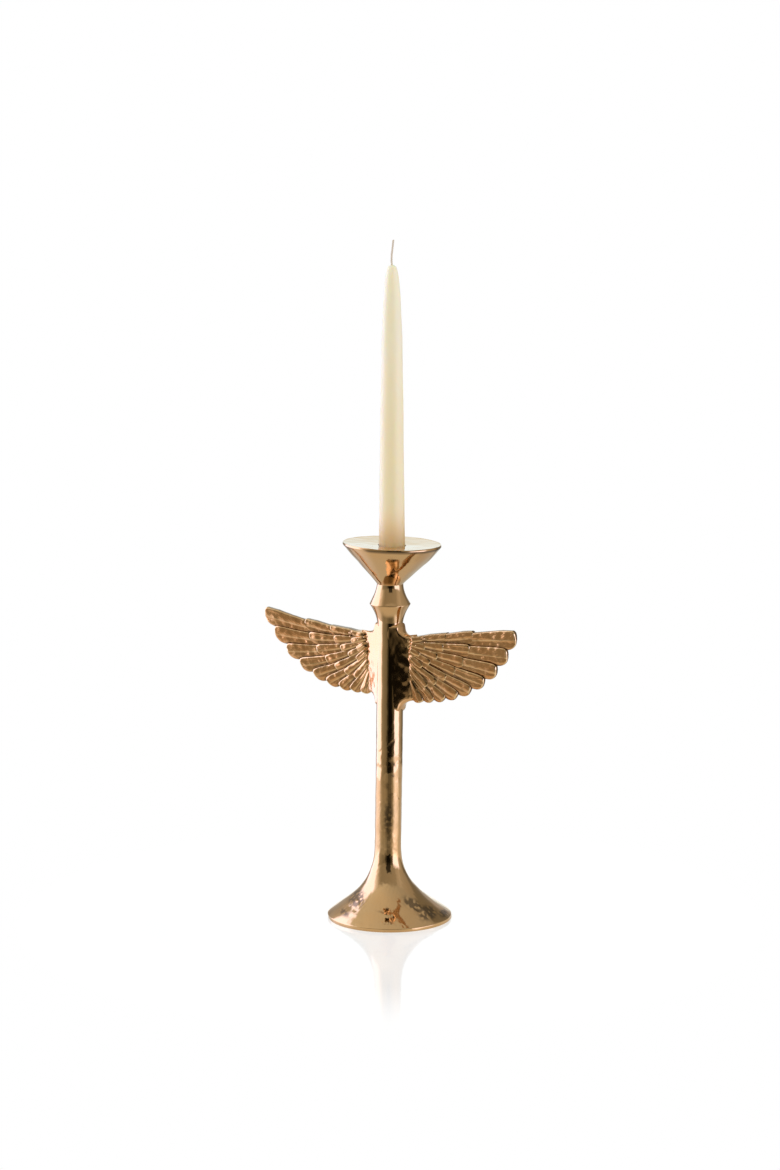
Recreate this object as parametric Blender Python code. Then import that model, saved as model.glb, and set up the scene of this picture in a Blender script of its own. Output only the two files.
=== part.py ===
"""Winged candle holder: a one-piece brass casting with a taper candle in it.

Metres, +Z up. The origin is the middle of the ring that the foot rests on. The wings spread along
X and the front of the holder faces -Y. A wing is laid out flat in (out, up): out is the distance
from the stem's axis and up is the height. wing_point() then bows and leans that layout into place.
"""

import math

import bmesh
import bpy

# Foot
FOOT_RADIUS = 0.0516
FOOT_EDGE = 0.0028
FOOT_CHAMFER = 0.0004
FOOT_WALL = 0.0050
FLARE_HEIGHT = 0.0610
HOLLOW_TOP_RADIUS = 0.0060

# Stem, knop and cup
HOLDER_HEIGHT = 0.3150
STEM_RADIUS = 0.0108
STEM_FOOT_RADIUS = 0.01115
KNOP_BELOW_RIM = 0.0503
KNOP_RADIUS = 0.0170
KNOP_TAPER = 0.0155
KNOP_SHOULDER = 0.0165
NECK_RADIUS = 0.0110
CUP_RADIUS = 0.0405
CUP_EDGE = 0.0015
CUP_RIM = 0.0012
PAN_DEPTH = 0.0018
SOCKET_DEPTH = 0.0270

# Candle and wick, with the clearance that parts them from what holds them
CANDLE_LENGTH = 0.2540
CANDLE_RADIUS = 0.01105
CANDLE_TIP_LENGTH = 0.0575
CANDLE_SHOULDER_RADIUS = 0.0085
CANDLE_END_RADIUS = 0.0026
WICK_RADIUS = 0.0009
WICK_SHOWING = 0.0215
WICK_SWAY = 0.0013
CLEARANCE = 0.0003

# Wing layout: the fan that its feathers spread from
WING_BELOW_KNOP = 0.0287
FAN_OUT = 0.0200
FAN_TOP_ANGLE = math.radians(5.7)
FAN_SWEEP = math.radians(88.8)
FAN_CROWDING = 1.08
OUTER_REACH = 0.0996
INNER_REACH = 0.0518
REACH_FALL = 1.8
REACH_SWELL = 0.3
ROOT_DROP = 0.0290
ROOT_DRAW_IN = 0.08
EDGE_ABOVE_FAN = 0.0049
EDGE_RISE = 0.125
WING_FORWARD = 0.0010
WING_LEAN = 0.11
WING_BOW = 0.0018
TIP_FORWARD = 0.0030

# Feathers: half thicknesses at the leading edge, shaft and trailing edge, and how far each tier
# of coverts stands above the one under it
FEATHER_LEAD = 0.0020
FEATHER_CREST = 0.0023
FEATHER_TRAIL = 0.0012
FEATHER_FULLNESS = 0.7
TIER_STEP = 0.0007
TIER_INSET = 0.0006
FEATHER_ROOT_HALF_WIDTH = 0.0028
FEATHER_BEND = 0.020
TIP_LENGTH = 1.3
TIP_CORNER = 0.12
TIP_THINNING = 0.25

# Web that ties each wing to the stem: its flanks touch the stem and thin out by WEB_SLANT
WEB_SLANT = 0.62
WEB_GRIP = 0.83
WEB_END_HALF_THICKNESS = 0.0016
WEB_CORNER = 0.6
WEB_FILLET = 0.0092
WEB_LENGTH = 0.0240
WEB_DEPTH = 0.0500

# Facets
TURN_STEPS = 48
FINE_TURN_STEPS = 12

# Wing tiers from the flight feathers up: feathers, end of the fan, reach at the first and last
# feather as a share of the flight feathers' reach, and half width at the first and last feather
TIERS = (
    (9, 1.00, 1.00, 1.00, 0.0081, 0.0051),
    (7, 0.88, 0.61, 0.77, 0.0064, 0.0052),
    (5, 0.82, 0.36, 0.46, 0.0060, 0.0046),
    (3, 0.70, 0.16, 0.28, 0.0050, 0.0042),
)


def clear_scene():
    for thing in list(bpy.data.objects):
        bpy.data.objects.remove(thing, do_unlink=True)


def new_material(name, colour, metallic, roughness):
    """A plain finish; colour is linear RGB."""
    made = bpy.data.materials.new(name)
    made.use_nodes = True
    shader = made.node_tree.nodes["Principled BSDF"]
    shader.inputs["Base Color"].default_value = (*colour, 1.0)
    shader.inputs["Metallic"].default_value = metallic
    shader.inputs["Roughness"].default_value = roughness
    made.diffuse_color = (*colour, 1.0)
    return made


def new_object(name, shape, finish, collection=None):
    """Closes the bmesh's normals outwards and puts it in the scene, shaded smooth."""
    bmesh.ops.recalc_face_normals(shape, faces=shape.faces[:])
    mesh = bpy.data.meshes.new(name)
    shape.to_mesh(mesh)
    shape.free()
    mesh.shade_smooth()
    mesh.set_sharp_from_angle(angle=math.radians(35))
    mesh.materials.append(finish)
    made = bpy.data.objects.new(name, mesh)
    (collection or bpy.context.scene.collection).objects.link(made)
    return made


def mix(first, second, share):
    return first + (second - first) * share


def bezier(start, first, second, end, steps):
    """Points of a cubic curve after its start."""
    points = []
    for step in range(1, steps + 1):
        t = step / steps
        weights = ((1 - t) ** 3, 3 * (1 - t) ** 2 * t, 3 * (1 - t) * t * t, t**3)
        corners = (start, first, second, end)
        points.append(tuple(sum(w * p[i] for w, p in zip(weights, corners)) for i in (0, 1)))
    return points


def turned(profile, steps):
    """A solid of revolution from (radius, height) points that start and end on the axis."""
    shape = bmesh.new()
    rings = []
    for radius, height in profile:
        if radius == 0:
            rings.append([shape.verts.new((0, 0, height))] * steps)
            continue
        ring = []
        for step in range(steps):
            turn = 2 * math.pi * step / steps
            ring.append(shape.verts.new((radius * math.cos(turn), radius * math.sin(turn), height)))
        rings.append(ring)
    skin_rings(shape, rings)
    return shape


def skin_rings(shape, rings):
    """Faces between each ring of vertices and the next; a ring may be one vertex repeated."""
    for low, high in zip(rings, rings[1:]):
        for i, corner in enumerate(low):
            following = (i + 1) % len(low)
            corners = dict.fromkeys((corner, low[following], high[following], high[i]))
            shape.faces.new(corners)


def loft(rings):
    """A closed solid through rings of points with an equal count each."""
    shape = bmesh.new()
    made = [[shape.verts.new(point) for point in ring] for ring in rings]
    skin_rings(shape, made)
    shape.faces.new(made[0])
    shape.faces.new(reversed(made[-1]))
    return shape


def foot_flare():
    """The foot's top from its edge in to the stem. Its handles are shares of the flare's own size."""
    edge = (FOOT_RADIUS, FOOT_EDGE)
    width = FOOT_RADIUS - STEM_FOOT_RADIUS
    rise = FLARE_HEIGHT - FOOT_EDGE
    heel = (FOOT_RADIUS - 0.42 * width, FOOT_EDGE + 0.24 * rise)
    throat = (STEM_FOOT_RADIUS, FOOT_EDGE + 0.40 * rise)
    return [edge] + bezier(edge, heel, throat, (STEM_FOOT_RADIUS, FLARE_HEIGHT), 14)


def foot_hollow(flare):
    """The casting's underside: the flare moved in by FOOT_WALL, from its closed top down."""
    inside = []
    for (r0, h0), (r1, h1) in zip(flare, flare[1:]):
        length = math.hypot(r1 - r0, h1 - h0)
        radius = (r0 + r1) / 2 - FOOT_WALL * (h1 - h0) / length
        height = (h0 + h1) / 2 + FOOT_WALL * (r1 - r0) / length
        if height > 0 and radius > HOLLOW_TOP_RADIUS:
            inside.append((radius, height))
    top = (0, inside[-1][1])
    return [top] + inside[::-1] + [(FOOT_RADIUS - FOOT_WALL, 0)]


def knop_height():
    return HOLDER_HEIGHT - KNOP_BELOW_RIM


def pan_height():
    return HOLDER_HEIGHT - PAN_DEPTH


def socket_floor():
    return pan_height() - SOCKET_DEPTH


def knop():
    """The ridge under the cup, from the stem up to the neck."""
    stem = (STEM_RADIUS, knop_height() - KNOP_TAPER)
    ridge = (KNOP_RADIUS, knop_height())
    neck = (NECK_RADIUS, knop_height() + KNOP_SHOULDER)
    swell = KNOP_RADIUS - STEM_RADIUS
    below = bezier(
        stem,
        (STEM_RADIUS + 0.13 * swell, stem[1] + 0.45 * KNOP_TAPER),
        (STEM_RADIUS + 0.58 * swell, stem[1] + 0.70 * KNOP_TAPER),
        ridge,
        4,
    )
    draw_in = KNOP_RADIUS - NECK_RADIUS
    above = bezier(
        ridge,
        (KNOP_RADIUS - 0.40 * draw_in, ridge[1] + 0.25 * KNOP_SHOULDER),
        (NECK_RADIUS + 0.08 * draw_in, neck[1] - 0.40 * KNOP_SHOULDER),
        neck,
        4,
    )
    return [stem] + below + above


def cup():
    """The funnel from the neck out to its edge, the dished pan, and the socket down to the axis."""
    neck = (NECK_RADIUS, knop_height() + KNOP_SHOULDER)
    edge = (CUP_RADIUS, HOLDER_HEIGHT - CUP_EDGE)
    flare = edge[0] - neck[0]
    rise = edge[1] - neck[1]
    funnel = bezier(
        neck,
        (neck[0] + 0.27 * flare, neck[1] + 0.30 * rise),
        (edge[0] - 0.25 * flare, edge[1] - 0.33 * rise),
        edge,
        7,
    )
    socket_radius = CANDLE_RADIUS + CLEARANCE
    return funnel + [
        (CUP_RADIUS - CUP_RIM / 4, HOLDER_HEIGHT),
        (CUP_RADIUS - CUP_RIM, HOLDER_HEIGHT - CUP_RIM / 4),
        (socket_radius, pan_height()),
        (socket_radius, socket_floor()),
        (0, socket_floor()),
    ]


def holder_body(finish):
    flare = foot_flare()
    ring = [(FOOT_RADIUS - FOOT_CHAMFER, 0), (FOOT_RADIUS, FOOT_CHAMFER)]
    profile = foot_hollow(flare) + ring + flare + knop() + cup()
    return new_object("candle_holder", turned(profile, TURN_STEPS), finish)


def fan_height():
    return knop_height() - WING_BELOW_KNOP


def leading_edge(out):
    """Height of the wing's straight upper edge at a distance from the axis."""
    return fan_height() + EDGE_ABOVE_FAN + EDGE_RISE * (out - FAN_OUT)


def wing_point(side, out, up, depth):
    """A point of the layout in the holder's frame, depth in front of the wing's middle surface.

    side is 1 for the right wing and -1 for the left one. The right wing bows up and the left one
    sags by as much. Both lean back towards their lower edge and curl forward at their tips.
    """
    span = max(0.0, min(1.0, (out - FAN_OUT) / OUTER_REACH))
    grip = max(0.0, min(1.0, out / FAN_OUT)) ** 2
    middle = grip * (WING_FORWARD - WING_LEAN * (leading_edge(out) - up)) + TIP_FORWARD * span**2
    bow = side * WING_BOW * math.sin(math.pi * span)
    return (side * out, -(middle + depth), up + bow)


def reach(turn):
    swept = (1 - turn) ** REACH_FALL * (1 + REACH_SWELL * turn * (1 - turn))
    return mix(INNER_REACH, OUTER_REACH, swept)


def feather_path(turn, share):
    """Root and tip of the feather at a turn of the fan, 0 at the leading edge and 1 at the stem."""
    angle = FAN_TOP_ANGLE - FAN_SWEEP * turn**FAN_CROWDING
    length = share * reach(turn)
    tip = (FAN_OUT + length * math.cos(angle), fan_height() + length * math.sin(angle))
    root = (FAN_OUT - ROOT_DRAW_IN * ROOT_DROP * turn, fan_height() - ROOT_DROP * turn * share)
    return root, tip


def feather(name, side, path, half_width, tier, finish, collection):
    """One blade, lofted from its root to its tip and thickest at its leading edge.

    The tip is square on the leading side and rounded on the trailing side, and no feather passes
    the wing's leading edge.
    """
    lift = tier * TIER_STEP
    (root_out, root_up), (tip_out, tip_up) = path
    run, rise = tip_out - root_out, tip_up - root_up
    length = math.hypot(run, rise)
    along = (run / length, rise / length)
    across = (-along[1], along[0])
    taper = min(TIP_LENGTH * half_width / length, 0.7)
    stations = [0, 0.5 * (1 - taper)] + [1 - taper * (1 - u) for u in (0, 0.45, 0.8, 1)]
    rings = []
    for station in stations:
        widening = min(1.0, station / (1 - taper))
        width = mix(min(FEATHER_ROOT_HALF_WIDTH, half_width), half_width, widening)
        closing = max(0.0, (station - 1 + taper) / taper)
        sag = FEATHER_BEND * length * 4 * station * (1 - station)
        shaft_out = root_out + along[0] * length * station - across[0] * sag
        shaft_up = root_up + along[1] * length * station - across[1] * sag
        headroom = leading_edge(shaft_out) - tier * TIER_INSET - shaft_up
        lead = min(width * (1 - TIP_CORNER * closing**3), headroom)
        trail = width * max(math.sqrt(1 - closing**2), TIP_CORNER)
        thin = 1 - TIP_THINNING * closing
        section = (
            (lead, FEATHER_LEAD + lift),
            (0.5 * lead, mix(FEATHER_LEAD, FEATHER_CREST, FEATHER_FULLNESS) + lift),
            (0.0, FEATHER_CREST + lift),
            (-0.5 * trail, mix(FEATHER_TRAIL, FEATHER_CREST, FEATHER_FULLNESS) + lift),
            (-trail, FEATHER_TRAIL + lift),
        )
        ring = []
        for offset, half_thickness in section:
            out = shaft_out + across[0] * offset
            up = shaft_up + across[1] * offset
            ring.append((out, up, half_thickness * thin))
        front = [wing_point(side, out, up, depth) for out, up, depth in ring]
        back = [wing_point(side, out, up, -depth) for out, up, depth in reversed(ring)]
        rings.append(front + back)
    return new_object(name, loft(rings), finish, collection)


def feathers(side, finish, collection):
    for tier, (count, end, first_share, last_share, first_width, last_width) in enumerate(TIERS):
        for number in range(count):
            order = number / (count - 1)
            path = feather_path(end * order, mix(first_share, last_share, order))
            half_width = mix(first_width, last_width, order)
            name = f"feather_{side}_{tier}_{number}"
            feather(name, side, path, half_width, tier, finish, collection)


def web_half_thickness(out):
    """A flat flank that touches the stem's side, held inside the stem and thin at the feathers."""
    flank = STEM_RADIUS * math.hypot(1, WEB_SLANT) - WEB_SLANT * out
    return max(WEB_END_HALF_THICKNESS, min(WEB_GRIP * STEM_RADIUS, flank))


def web(side, finish, collection):
    """The plate between stem and feathers, its top and bottom filleted into the stem."""
    stations = [0, 0.45 * STEM_RADIUS, 0.78 * STEM_RADIUS]
    stations += [STEM_RADIUS + WEB_FILLET * share for share in (0.02, 0.16, 0.38, 0.68, 1)]
    rings = []
    for out in stations + [WEB_LENGTH]:
        half_thickness = web_half_thickness(out)
        inside = max(0.0, STEM_RADIUS + WEB_FILLET - out) / WEB_FILLET
        hollowed = 1 - math.sqrt(max(0.0, 1 - min(inside, 1) ** 2))
        top = leading_edge(max(out, FAN_OUT)) - TIER_INSET + WEB_FILLET * hollowed
        bottom = fan_height() - WEB_DEPTH - WEB_FILLET * hollowed
        corner = WEB_CORNER * half_thickness
        ring = (
            (top, half_thickness - corner),
            (top - corner, half_thickness),
            (bottom + corner, half_thickness),
            (bottom, half_thickness - corner),
        )
        front = [wing_point(side, out, up, depth) for up, depth in ring]
        back = [wing_point(side, out, up, -depth) for up, depth in reversed(ring)]
        rings.append(front + back)
    return new_object(f"web_{side}", loft(rings), finish, collection)


def wings(holder, finish):
    """Both wings, as hidden shapes that a Boolean casts in one piece with the holder."""
    shapes = bpy.data.collections.new("wing_shapes")
    bpy.context.scene.collection.children.link(shapes)
    for side in (1, -1):
        web(side, finish, shapes)
        feathers(side, finish, shapes)
    for shape in shapes.objects:
        shape.hide_render = True
        shape.display_type = "WIRE"
    joined = holder.modifiers.new("wings", "BOOLEAN")
    joined.operation = "UNION"
    joined.operand_type = "COLLECTION"
    joined.collection = shapes
    joined.solver = "EXACT"


def candle(finish):
    """A dipped taper with a bore for its wick, seated on the socket's floor."""
    bottom = socket_floor() + CLEARANCE
    top = bottom + CANDLE_LENGTH
    shoulder = (CANDLE_SHOULDER_RADIUS, top - CANDLE_TIP_LENGTH)
    tip = (CANDLE_END_RADIUS, top - 0.02 * CANDLE_TIP_LENGTH)
    steps = 6
    taper = [
        (mix(CANDLE_RADIUS, shoulder[0], i / steps), mix(bottom, shoulder[1], i / steps))
        for i in range(steps + 1)
    ]
    ogive = bezier(
        shoulder,
        (0.88 * shoulder[0], shoulder[1] + 0.35 * CANDLE_TIP_LENGTH),
        (0.80 * shoulder[0], shoulder[1] + 0.87 * CANDLE_TIP_LENGTH),
        tip,
        8,
    )
    bore = WICK_RADIUS + CLEARANCE
    shape = bmesh.new()
    rings = []
    for radius, height in [(bore, bottom)] + taper + ogive + [(bore, top), (bore, bottom)]:
        ring = []
        for step in range(TURN_STEPS):
            turn = 2 * math.pi * step / TURN_STEPS
            ring.append((radius * math.cos(turn), radius * math.sin(turn), height))
        rings.append(ring)
    made = [[shape.verts.new(point) for point in ring] for ring in rings[:-1]]
    skin_rings(shape, made + [made[0]])
    return new_object("candle", shape, finish)


def wick(finish):
    """A cotton wick through the wax, leaning a little where it shows."""
    bottom = socket_floor() + CLEARANCE
    wax_top = bottom + CANDLE_LENGTH
    rings = []
    for share, sway in ((-1, 0), (0, 0), (0.2, -0.35), (0.45, -0.2), (0.75, 0.5), (1, 1)):
        height = bottom if share < 0 else wax_top + share * WICK_SHOWING
        ring = []
        for step in range(FINE_TURN_STEPS):
            turn = 2 * math.pi * step / FINE_TURN_STEPS
            x = sway * WICK_SWAY + WICK_RADIUS * math.cos(turn)
            ring.append((x, WICK_RADIUS * math.sin(turn), height))
        rings.append(ring)
    return new_object("wick", loft(rings), finish)


def main():
    clear_scene()
    brass = new_material("polished_brass", (0.66, 0.41, 0.17), 1.0, 0.16)
    wax = new_material("ivory_wax", (0.90, 0.82, 0.62), 0.0, 0.45)
    cotton = new_material("waxed_cotton", (0.80, 0.74, 0.60), 0.0, 0.80)
    holder = holder_body(brass)
    wings(holder, brass)
    candle(wax)
    wick(cotton)


main()
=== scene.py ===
"""Looks of the winged candle holder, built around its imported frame.

Metres, +Z up, in the frame of the CAD part: the wings spread along X and the front faces -Y. The
casting is modelled again as fine meshes with the uneven surface of a hand-finished brass: a turned
body and two feathered wings. A wing is laid out flat in (out, up), as in the part, and wing_point()
puts that layout in place.
"""

import math

import bpy
import numpy as np
from mathutils import Matrix, Vector


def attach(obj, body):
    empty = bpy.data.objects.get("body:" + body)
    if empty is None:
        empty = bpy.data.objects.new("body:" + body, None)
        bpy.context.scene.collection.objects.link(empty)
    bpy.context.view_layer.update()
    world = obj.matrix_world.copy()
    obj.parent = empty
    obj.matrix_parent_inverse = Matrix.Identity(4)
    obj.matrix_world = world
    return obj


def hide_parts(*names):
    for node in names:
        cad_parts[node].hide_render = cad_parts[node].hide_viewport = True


MM = 0.001

# The photograph's view: where the camera stands, seen from the holder
CAMERA_BEARING = math.radians(30.0)
CAMERA_DISTANCE = 2.430
CAMERA_HEIGHT = 0.678
CAMERA_DROP = math.radians(9.3)
TO_CAMERA = (math.sin(CAMERA_BEARING), -math.cos(CAMERA_BEARING), 0)
CAMERA_RIGHT = (math.cos(CAMERA_BEARING), math.sin(CAMERA_BEARING), 0)
PHOTO_HEIGHT = 1170
FOCAL_PIXELS = 3000
SENSOR = 36.0

# Foot
FOOT_RADIUS = 51.6 * MM
FOOT_EDGE = 2.8 * MM
FOOT_WALL = 5.0 * MM
FLARE_HEIGHT = 61.0 * MM
HOLLOW_TOP_RADIUS = 6.0 * MM

# Stem, knop and cup
HOLDER_HEIGHT = 315.0 * MM
STEM_RADIUS = 10.8 * MM
STEM_FOOT_RADIUS = 11.15 * MM
KNOP_HEIGHT = HOLDER_HEIGHT - 50.3 * MM
KNOP_RADIUS = 17.0 * MM
KNOP_TAPER = 15.5 * MM
KNOP_SHOULDER = 16.5 * MM
NECK_RADIUS = 11.0 * MM
CUP_RADIUS = 40.5 * MM
CUP_EDGE = 1.5 * MM
CUP_RIM = 1.2 * MM
PAN_HEIGHT = HOLDER_HEIGHT - 1.8 * MM
SOCKET_FLOOR = PAN_HEIGHT - 27.0 * MM

# Candle and wick; the wax ends WAX_RISE above the part's, as in the photograph
CANDLE_LENGTH = 254.0 * MM
CANDLE_RADIUS = 11.05 * MM
CANDLE_TIP_LENGTH = 57.5 * MM
CANDLE_SHOULDER_RADIUS = 8.5 * MM
CANDLE_END_RADIUS = 3.2 * MM
WICK_RADIUS = 0.9 * MM
WICK_SHOWING = 21.5 * MM
WICK_HIDDEN = 6 * MM
WICK_SWAY = 1.3 * MM
STRANDS = 3
STRAND_REACH = 0.42 * WICK_RADIUS
STRAND_RADIUS = 0.52 * WICK_RADIUS
STRAND_PITCH = 5.2 * MM
STRAND_COLUMNS = 10
WAX_RISE = 1.3 * MM
CLEARANCE = 0.3 * MM

# Wing layout; the stretch lengthens the right wing downward and shortens the left one
FAN_HEIGHT = KNOP_HEIGHT - 28.7 * MM
FAN_OUT = 20.0 * MM
FAN_TOP_ANGLE = math.radians(5.7)
FAN_SWEEP = math.radians(88.8)
FAN_CROWDING = 1.08
OUTER_REACH = 99.6 * MM
INNER_REACH = 51.8 * MM
REACH_FALL = 1.8
REACH_SWELL = 0.3
ROOT_DROP = 29.0 * MM
EDGE_ABOVE_FAN = 4.9 * MM
EDGE_RISE = 0.125
WING_FORWARD = 1.0 * MM
WING_LEAN = 0.11
WING_BOW = 1.8 * MM
TIP_FORWARD = 3.0 * MM
WING_STRETCH = 0.03

# Feathers: half thicknesses at the leading and trailing edge, height of the dome between them, and
# the tiers' steps
FEATHER_LEAD = 3.0 * MM
FEATHER_TRAIL = 0.9 * MM
FEATHER_DOME = 0.30 * MM
FEATHER_ROOT_HALF_WIDTH = 2.8 * MM
FEATHER_BEND = 0.020
TIER_STEP = 0.7 * MM
TIER_INSET = 0.6 * MM
TIP_LENGTH = 1.3
ROOT_RISE = 1.3 * MM
ROOT_RISE_OUT = 19.0 * MM
ROOT_RISE_SPREAD = 7.0 * MM

# Tiers from the flight feathers up: feathers, end of the fan, reach at the first and last feather
# as a share of the flight feathers' reach, half width at the first and last feather, and the share
# of their length that the next tier hides
TIERS = (
    (9, 1.00, 1.00, 1.00, 8.1 * MM, 5.1 * MM, 0.50),
    (7, 0.88, 0.61, 0.77, 6.4 * MM, 5.2 * MM, 0.42),
    (5, 0.82, 0.36, 0.46, 6.0 * MM, 4.6 * MM, 0.30),
    (3, 0.70, 0.16, 0.28, 5.0 * MM, 4.2 * MM, 0.0),
)

# Relief of a feather. Ridges: height, distance from the shaft or edge, half width. Bevels at the
# leading edge, trailing edge and tip: slope and width. The root and the tip are thinner.
SHAFT_RIDGE = (0.18 * MM, 0.0, 0.50 * MM)
EDGE_RIDGE = (0.19 * MM, 0.7 * MM, 0.45 * MM)
TIP_RIDGE = (0.26 * MM, 0.8 * MM, 0.50 * MM)
# Ridge height at which a feather's wear and painted highlight are full
WEAR_AND_HIGHLIGHT_RISE = 0.22 * MM
BEVELS = ((0.62, 1.7 * MM), (0.25, 1.2 * MM), (0.40, 1.4 * MM))
BARB_RISE = 0.038 * MM
BARB_GAP = 1.7 * MM
BARB_WOBBLE = 0.35 * MM
FLUTE_RISE = 0.19 * MM
FEATHER_TWIST = 0.30 * MM
EDGE_ROUND = 0.5 * MM
ROOT_SHARE = 0.45
ROOT_LENGTH = 4.5 * MM
TIP_THINNING = 0.18
LONGEST_TIP = 0.7
THINNEST_FEATHER = 0.004 * MM
THINNEST_SHEET = 0.01 * MM

# Web between stem and feathers: its flanks touch the stem and thin out by the slant
WEB_END_DEPTH = 2.2 * MM
WEB_SLANT = 0.45
WEB_LENGTH = 26.0 * MM
WEB_DEPTH = 50.0 * MM
WEB_FILLET = 9.2 * MM
WEB_ROUND = 3.5 * MM
WEB_SUNK = 0.4 * MM
# Share of the lighter rubbed colour over the whole web: wear, and a painted highlight
WEB_WEAR_AND_HIGHLIGHT = 0.30

# Lumps of the casting on each wing: how many, and the smallest and largest half width, half height
# and rise in millimetres
ROOT_LUMPS = (9, (2.6, 2.4, 3.3), (4.2, 3.6, 3.9))
SHOULDER_LUMPS = (9, (1.3, 1.1, 4.5), (2.4, 1.9, 5.6))
# Share of the lighter rubbed colour on the lumps: wear, and a painted highlight
LUMP_WEAR_AND_HIGHLIGHT = 0.6

# Painted shade in the valleys between the feathers: the grid they are found on, the depths over which the
# painted shade darkens, and the distances from the axis over which it sets in
VALLEY_CELL = 0.6 * MM
VALLEY_MARGIN = 8 * MM
VALLEY_DEPTHS = (0.10 * MM, 0.9 * MM)
VALLEY_FROM = (25 * MM, 33 * MM)

# Dents of the wings, coarse and fine: height, wavelength and seed; their share at the stem, the
# distances from the axis over which it grows to 1, and the share of the body's unevenness
DENTS = ((0.10 * MM, 6 * MM, 41), (0.022 * MM, 2.6 * MM, 42))
DENTED_AT_STEM = 0.6
DENTED_FROM = (15 * MM, 20 * MM)
WING_UNEVENNESS = 0.8

# Fineness of the meshes
ON_AXIS = 1e-6
SECTION_STEP = 0.05 * MM
EDGE_EASE = 0.45 * MM
CANDLE_EASE = 0.8 * MM
RING_GAP = 1.1 * MM
HIDDEN_GAP = 3.0 * MM
BEND_PER_RING = math.radians(18)
SLIM_RADIUS = 13 * MM
WIDE_RADIUS = 30 * MM
SLIM_COLUMNS = 128
CANDLE_COLUMNS = 96
VANE_GAP = 0.65 * MM
HIDDEN_VANE_GAP = 3.0 * MM
ACROSS_GAP = 0.52 * MM
ACROSS_EDGE = np.array((0, 0.05, 0.16, 0.34, 0.60, 0.95)) * MM
TIP_STEPS = np.array((1.0, 0.75, 0.5, 0.3, 0.15, 0.06, 0.01)) * MM
WEB_STEPS = np.array((0, 0.1, 0.3, 0.7, 1.3, 2.1, 3.0)) * MM
WEB_ROWS = 70
LUMP_ROWS = 13
WICK_ROWS = 120


def curve(start, first, second, end, steps=60):
    """Points of a cubic curve after its start."""
    t = np.linspace(0, 1, steps + 1)[1:, None]
    corners = np.array((start, first, second, end))
    weights = np.concatenate([(1 - t) ** 3, 3 * (1 - t) ** 2 * t, 3 * (1 - t) * t * t, t**3], axis=1)
    return (weights @ corners).tolist()


def mix(first, second, share):
    return first + (second - first) * share


def ease(low, high, value):
    """0 below low, 1 above high, smooth between."""
    share = np.clip((value - low) / (high - low), 0, 1)
    return share * share * (3 - 2 * share)


def ripples(points, wavelength, seed, count=36):
    """A smooth random field of about unit height."""
    chance = np.random.default_rng(seed)
    headings = chance.normal(size=(count, 3))
    headings /= np.linalg.norm(headings, axis=1, keepdims=True)
    waves = headings * (2 * math.pi / (wavelength * chance.uniform(0.75, 1.5, (count, 1))))
    phases = chance.uniform(0, 2 * math.pi, count)
    total = np.zeros(len(points))
    for wave, phase in zip(waves, phases):
        total += np.sin(points @ wave + phase)
    return total * math.sqrt(2 / count)


def run_lengths(points):
    steps = np.linalg.norm(np.diff(points, axis=0), axis=1)
    return np.concatenate([[0], np.cumsum(steps)])


def new_mesh(name, points, faces, finishes, levels=None):
    """A smooth-shaded object; levels are per-point values that the materials read by name."""
    mesh = bpy.data.meshes.new(name)
    mesh.from_pydata(points.tolist(), [], faces)
    mesh.polygons.foreach_set("use_smooth", [True] * len(faces))
    for finish in finishes:
        mesh.materials.append(finish)
    for key, values in (levels or {}).items():
        layer = mesh.attributes.new(key, "FLOAT", "POINT")
        layer.data.foreach_set("value", np.asarray(values, np.float32))
    mesh.update()
    made = bpy.data.objects.new(name, mesh)
    bpy.context.scene.collection.objects.link(made)
    return made


# Turned body


def foot_flare():
    width = FOOT_RADIUS - STEM_FOOT_RADIUS
    rise = FLARE_HEIGHT - FOOT_EDGE
    edge = (FOOT_RADIUS, FOOT_EDGE)
    heel = (FOOT_RADIUS - 0.42 * width, FOOT_EDGE + 0.24 * rise)
    throat = (STEM_FOOT_RADIUS, FOOT_EDGE + 0.40 * rise)
    return [edge] + curve(edge, heel, throat, (STEM_FOOT_RADIUS, FLARE_HEIGHT))


def foot_hollow(flare):
    """The underside: the flare moved in by the casting's wall, from its top down."""
    flare = np.array(flare)
    steps = np.diff(flare, axis=0)
    normals = np.stack([-steps[:, 1], steps[:, 0]], axis=1) / np.linalg.norm(steps, axis=1, keepdims=True)
    inside = (flare[:-1] + flare[1:]) / 2 + FOOT_WALL * normals
    inside = inside[(inside[:, 1] > 0) & (inside[:, 0] > HOLLOW_TOP_RADIUS)]
    return [(0, inside[-1, 1])] + inside[::-1].tolist() + [(FOOT_RADIUS - FOOT_WALL, 0)]


def knop_section():
    stem = (STEM_RADIUS, KNOP_HEIGHT - KNOP_TAPER)
    ridge = (KNOP_RADIUS, KNOP_HEIGHT)
    neck = (NECK_RADIUS, KNOP_HEIGHT + KNOP_SHOULDER)
    swell = KNOP_RADIUS - STEM_RADIUS
    draw_in = KNOP_RADIUS - NECK_RADIUS
    below = curve(
        stem,
        (STEM_RADIUS + 0.13 * swell, stem[1] + 0.45 * KNOP_TAPER),
        (STEM_RADIUS + 0.58 * swell, stem[1] + 0.70 * KNOP_TAPER),
        ridge,
    )
    above = curve(
        ridge,
        (KNOP_RADIUS - 0.40 * draw_in, ridge[1] + 0.25 * KNOP_SHOULDER),
        (NECK_RADIUS + 0.08 * draw_in, neck[1] - 0.40 * KNOP_SHOULDER),
        neck,
    )
    return [stem] + below + above


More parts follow.
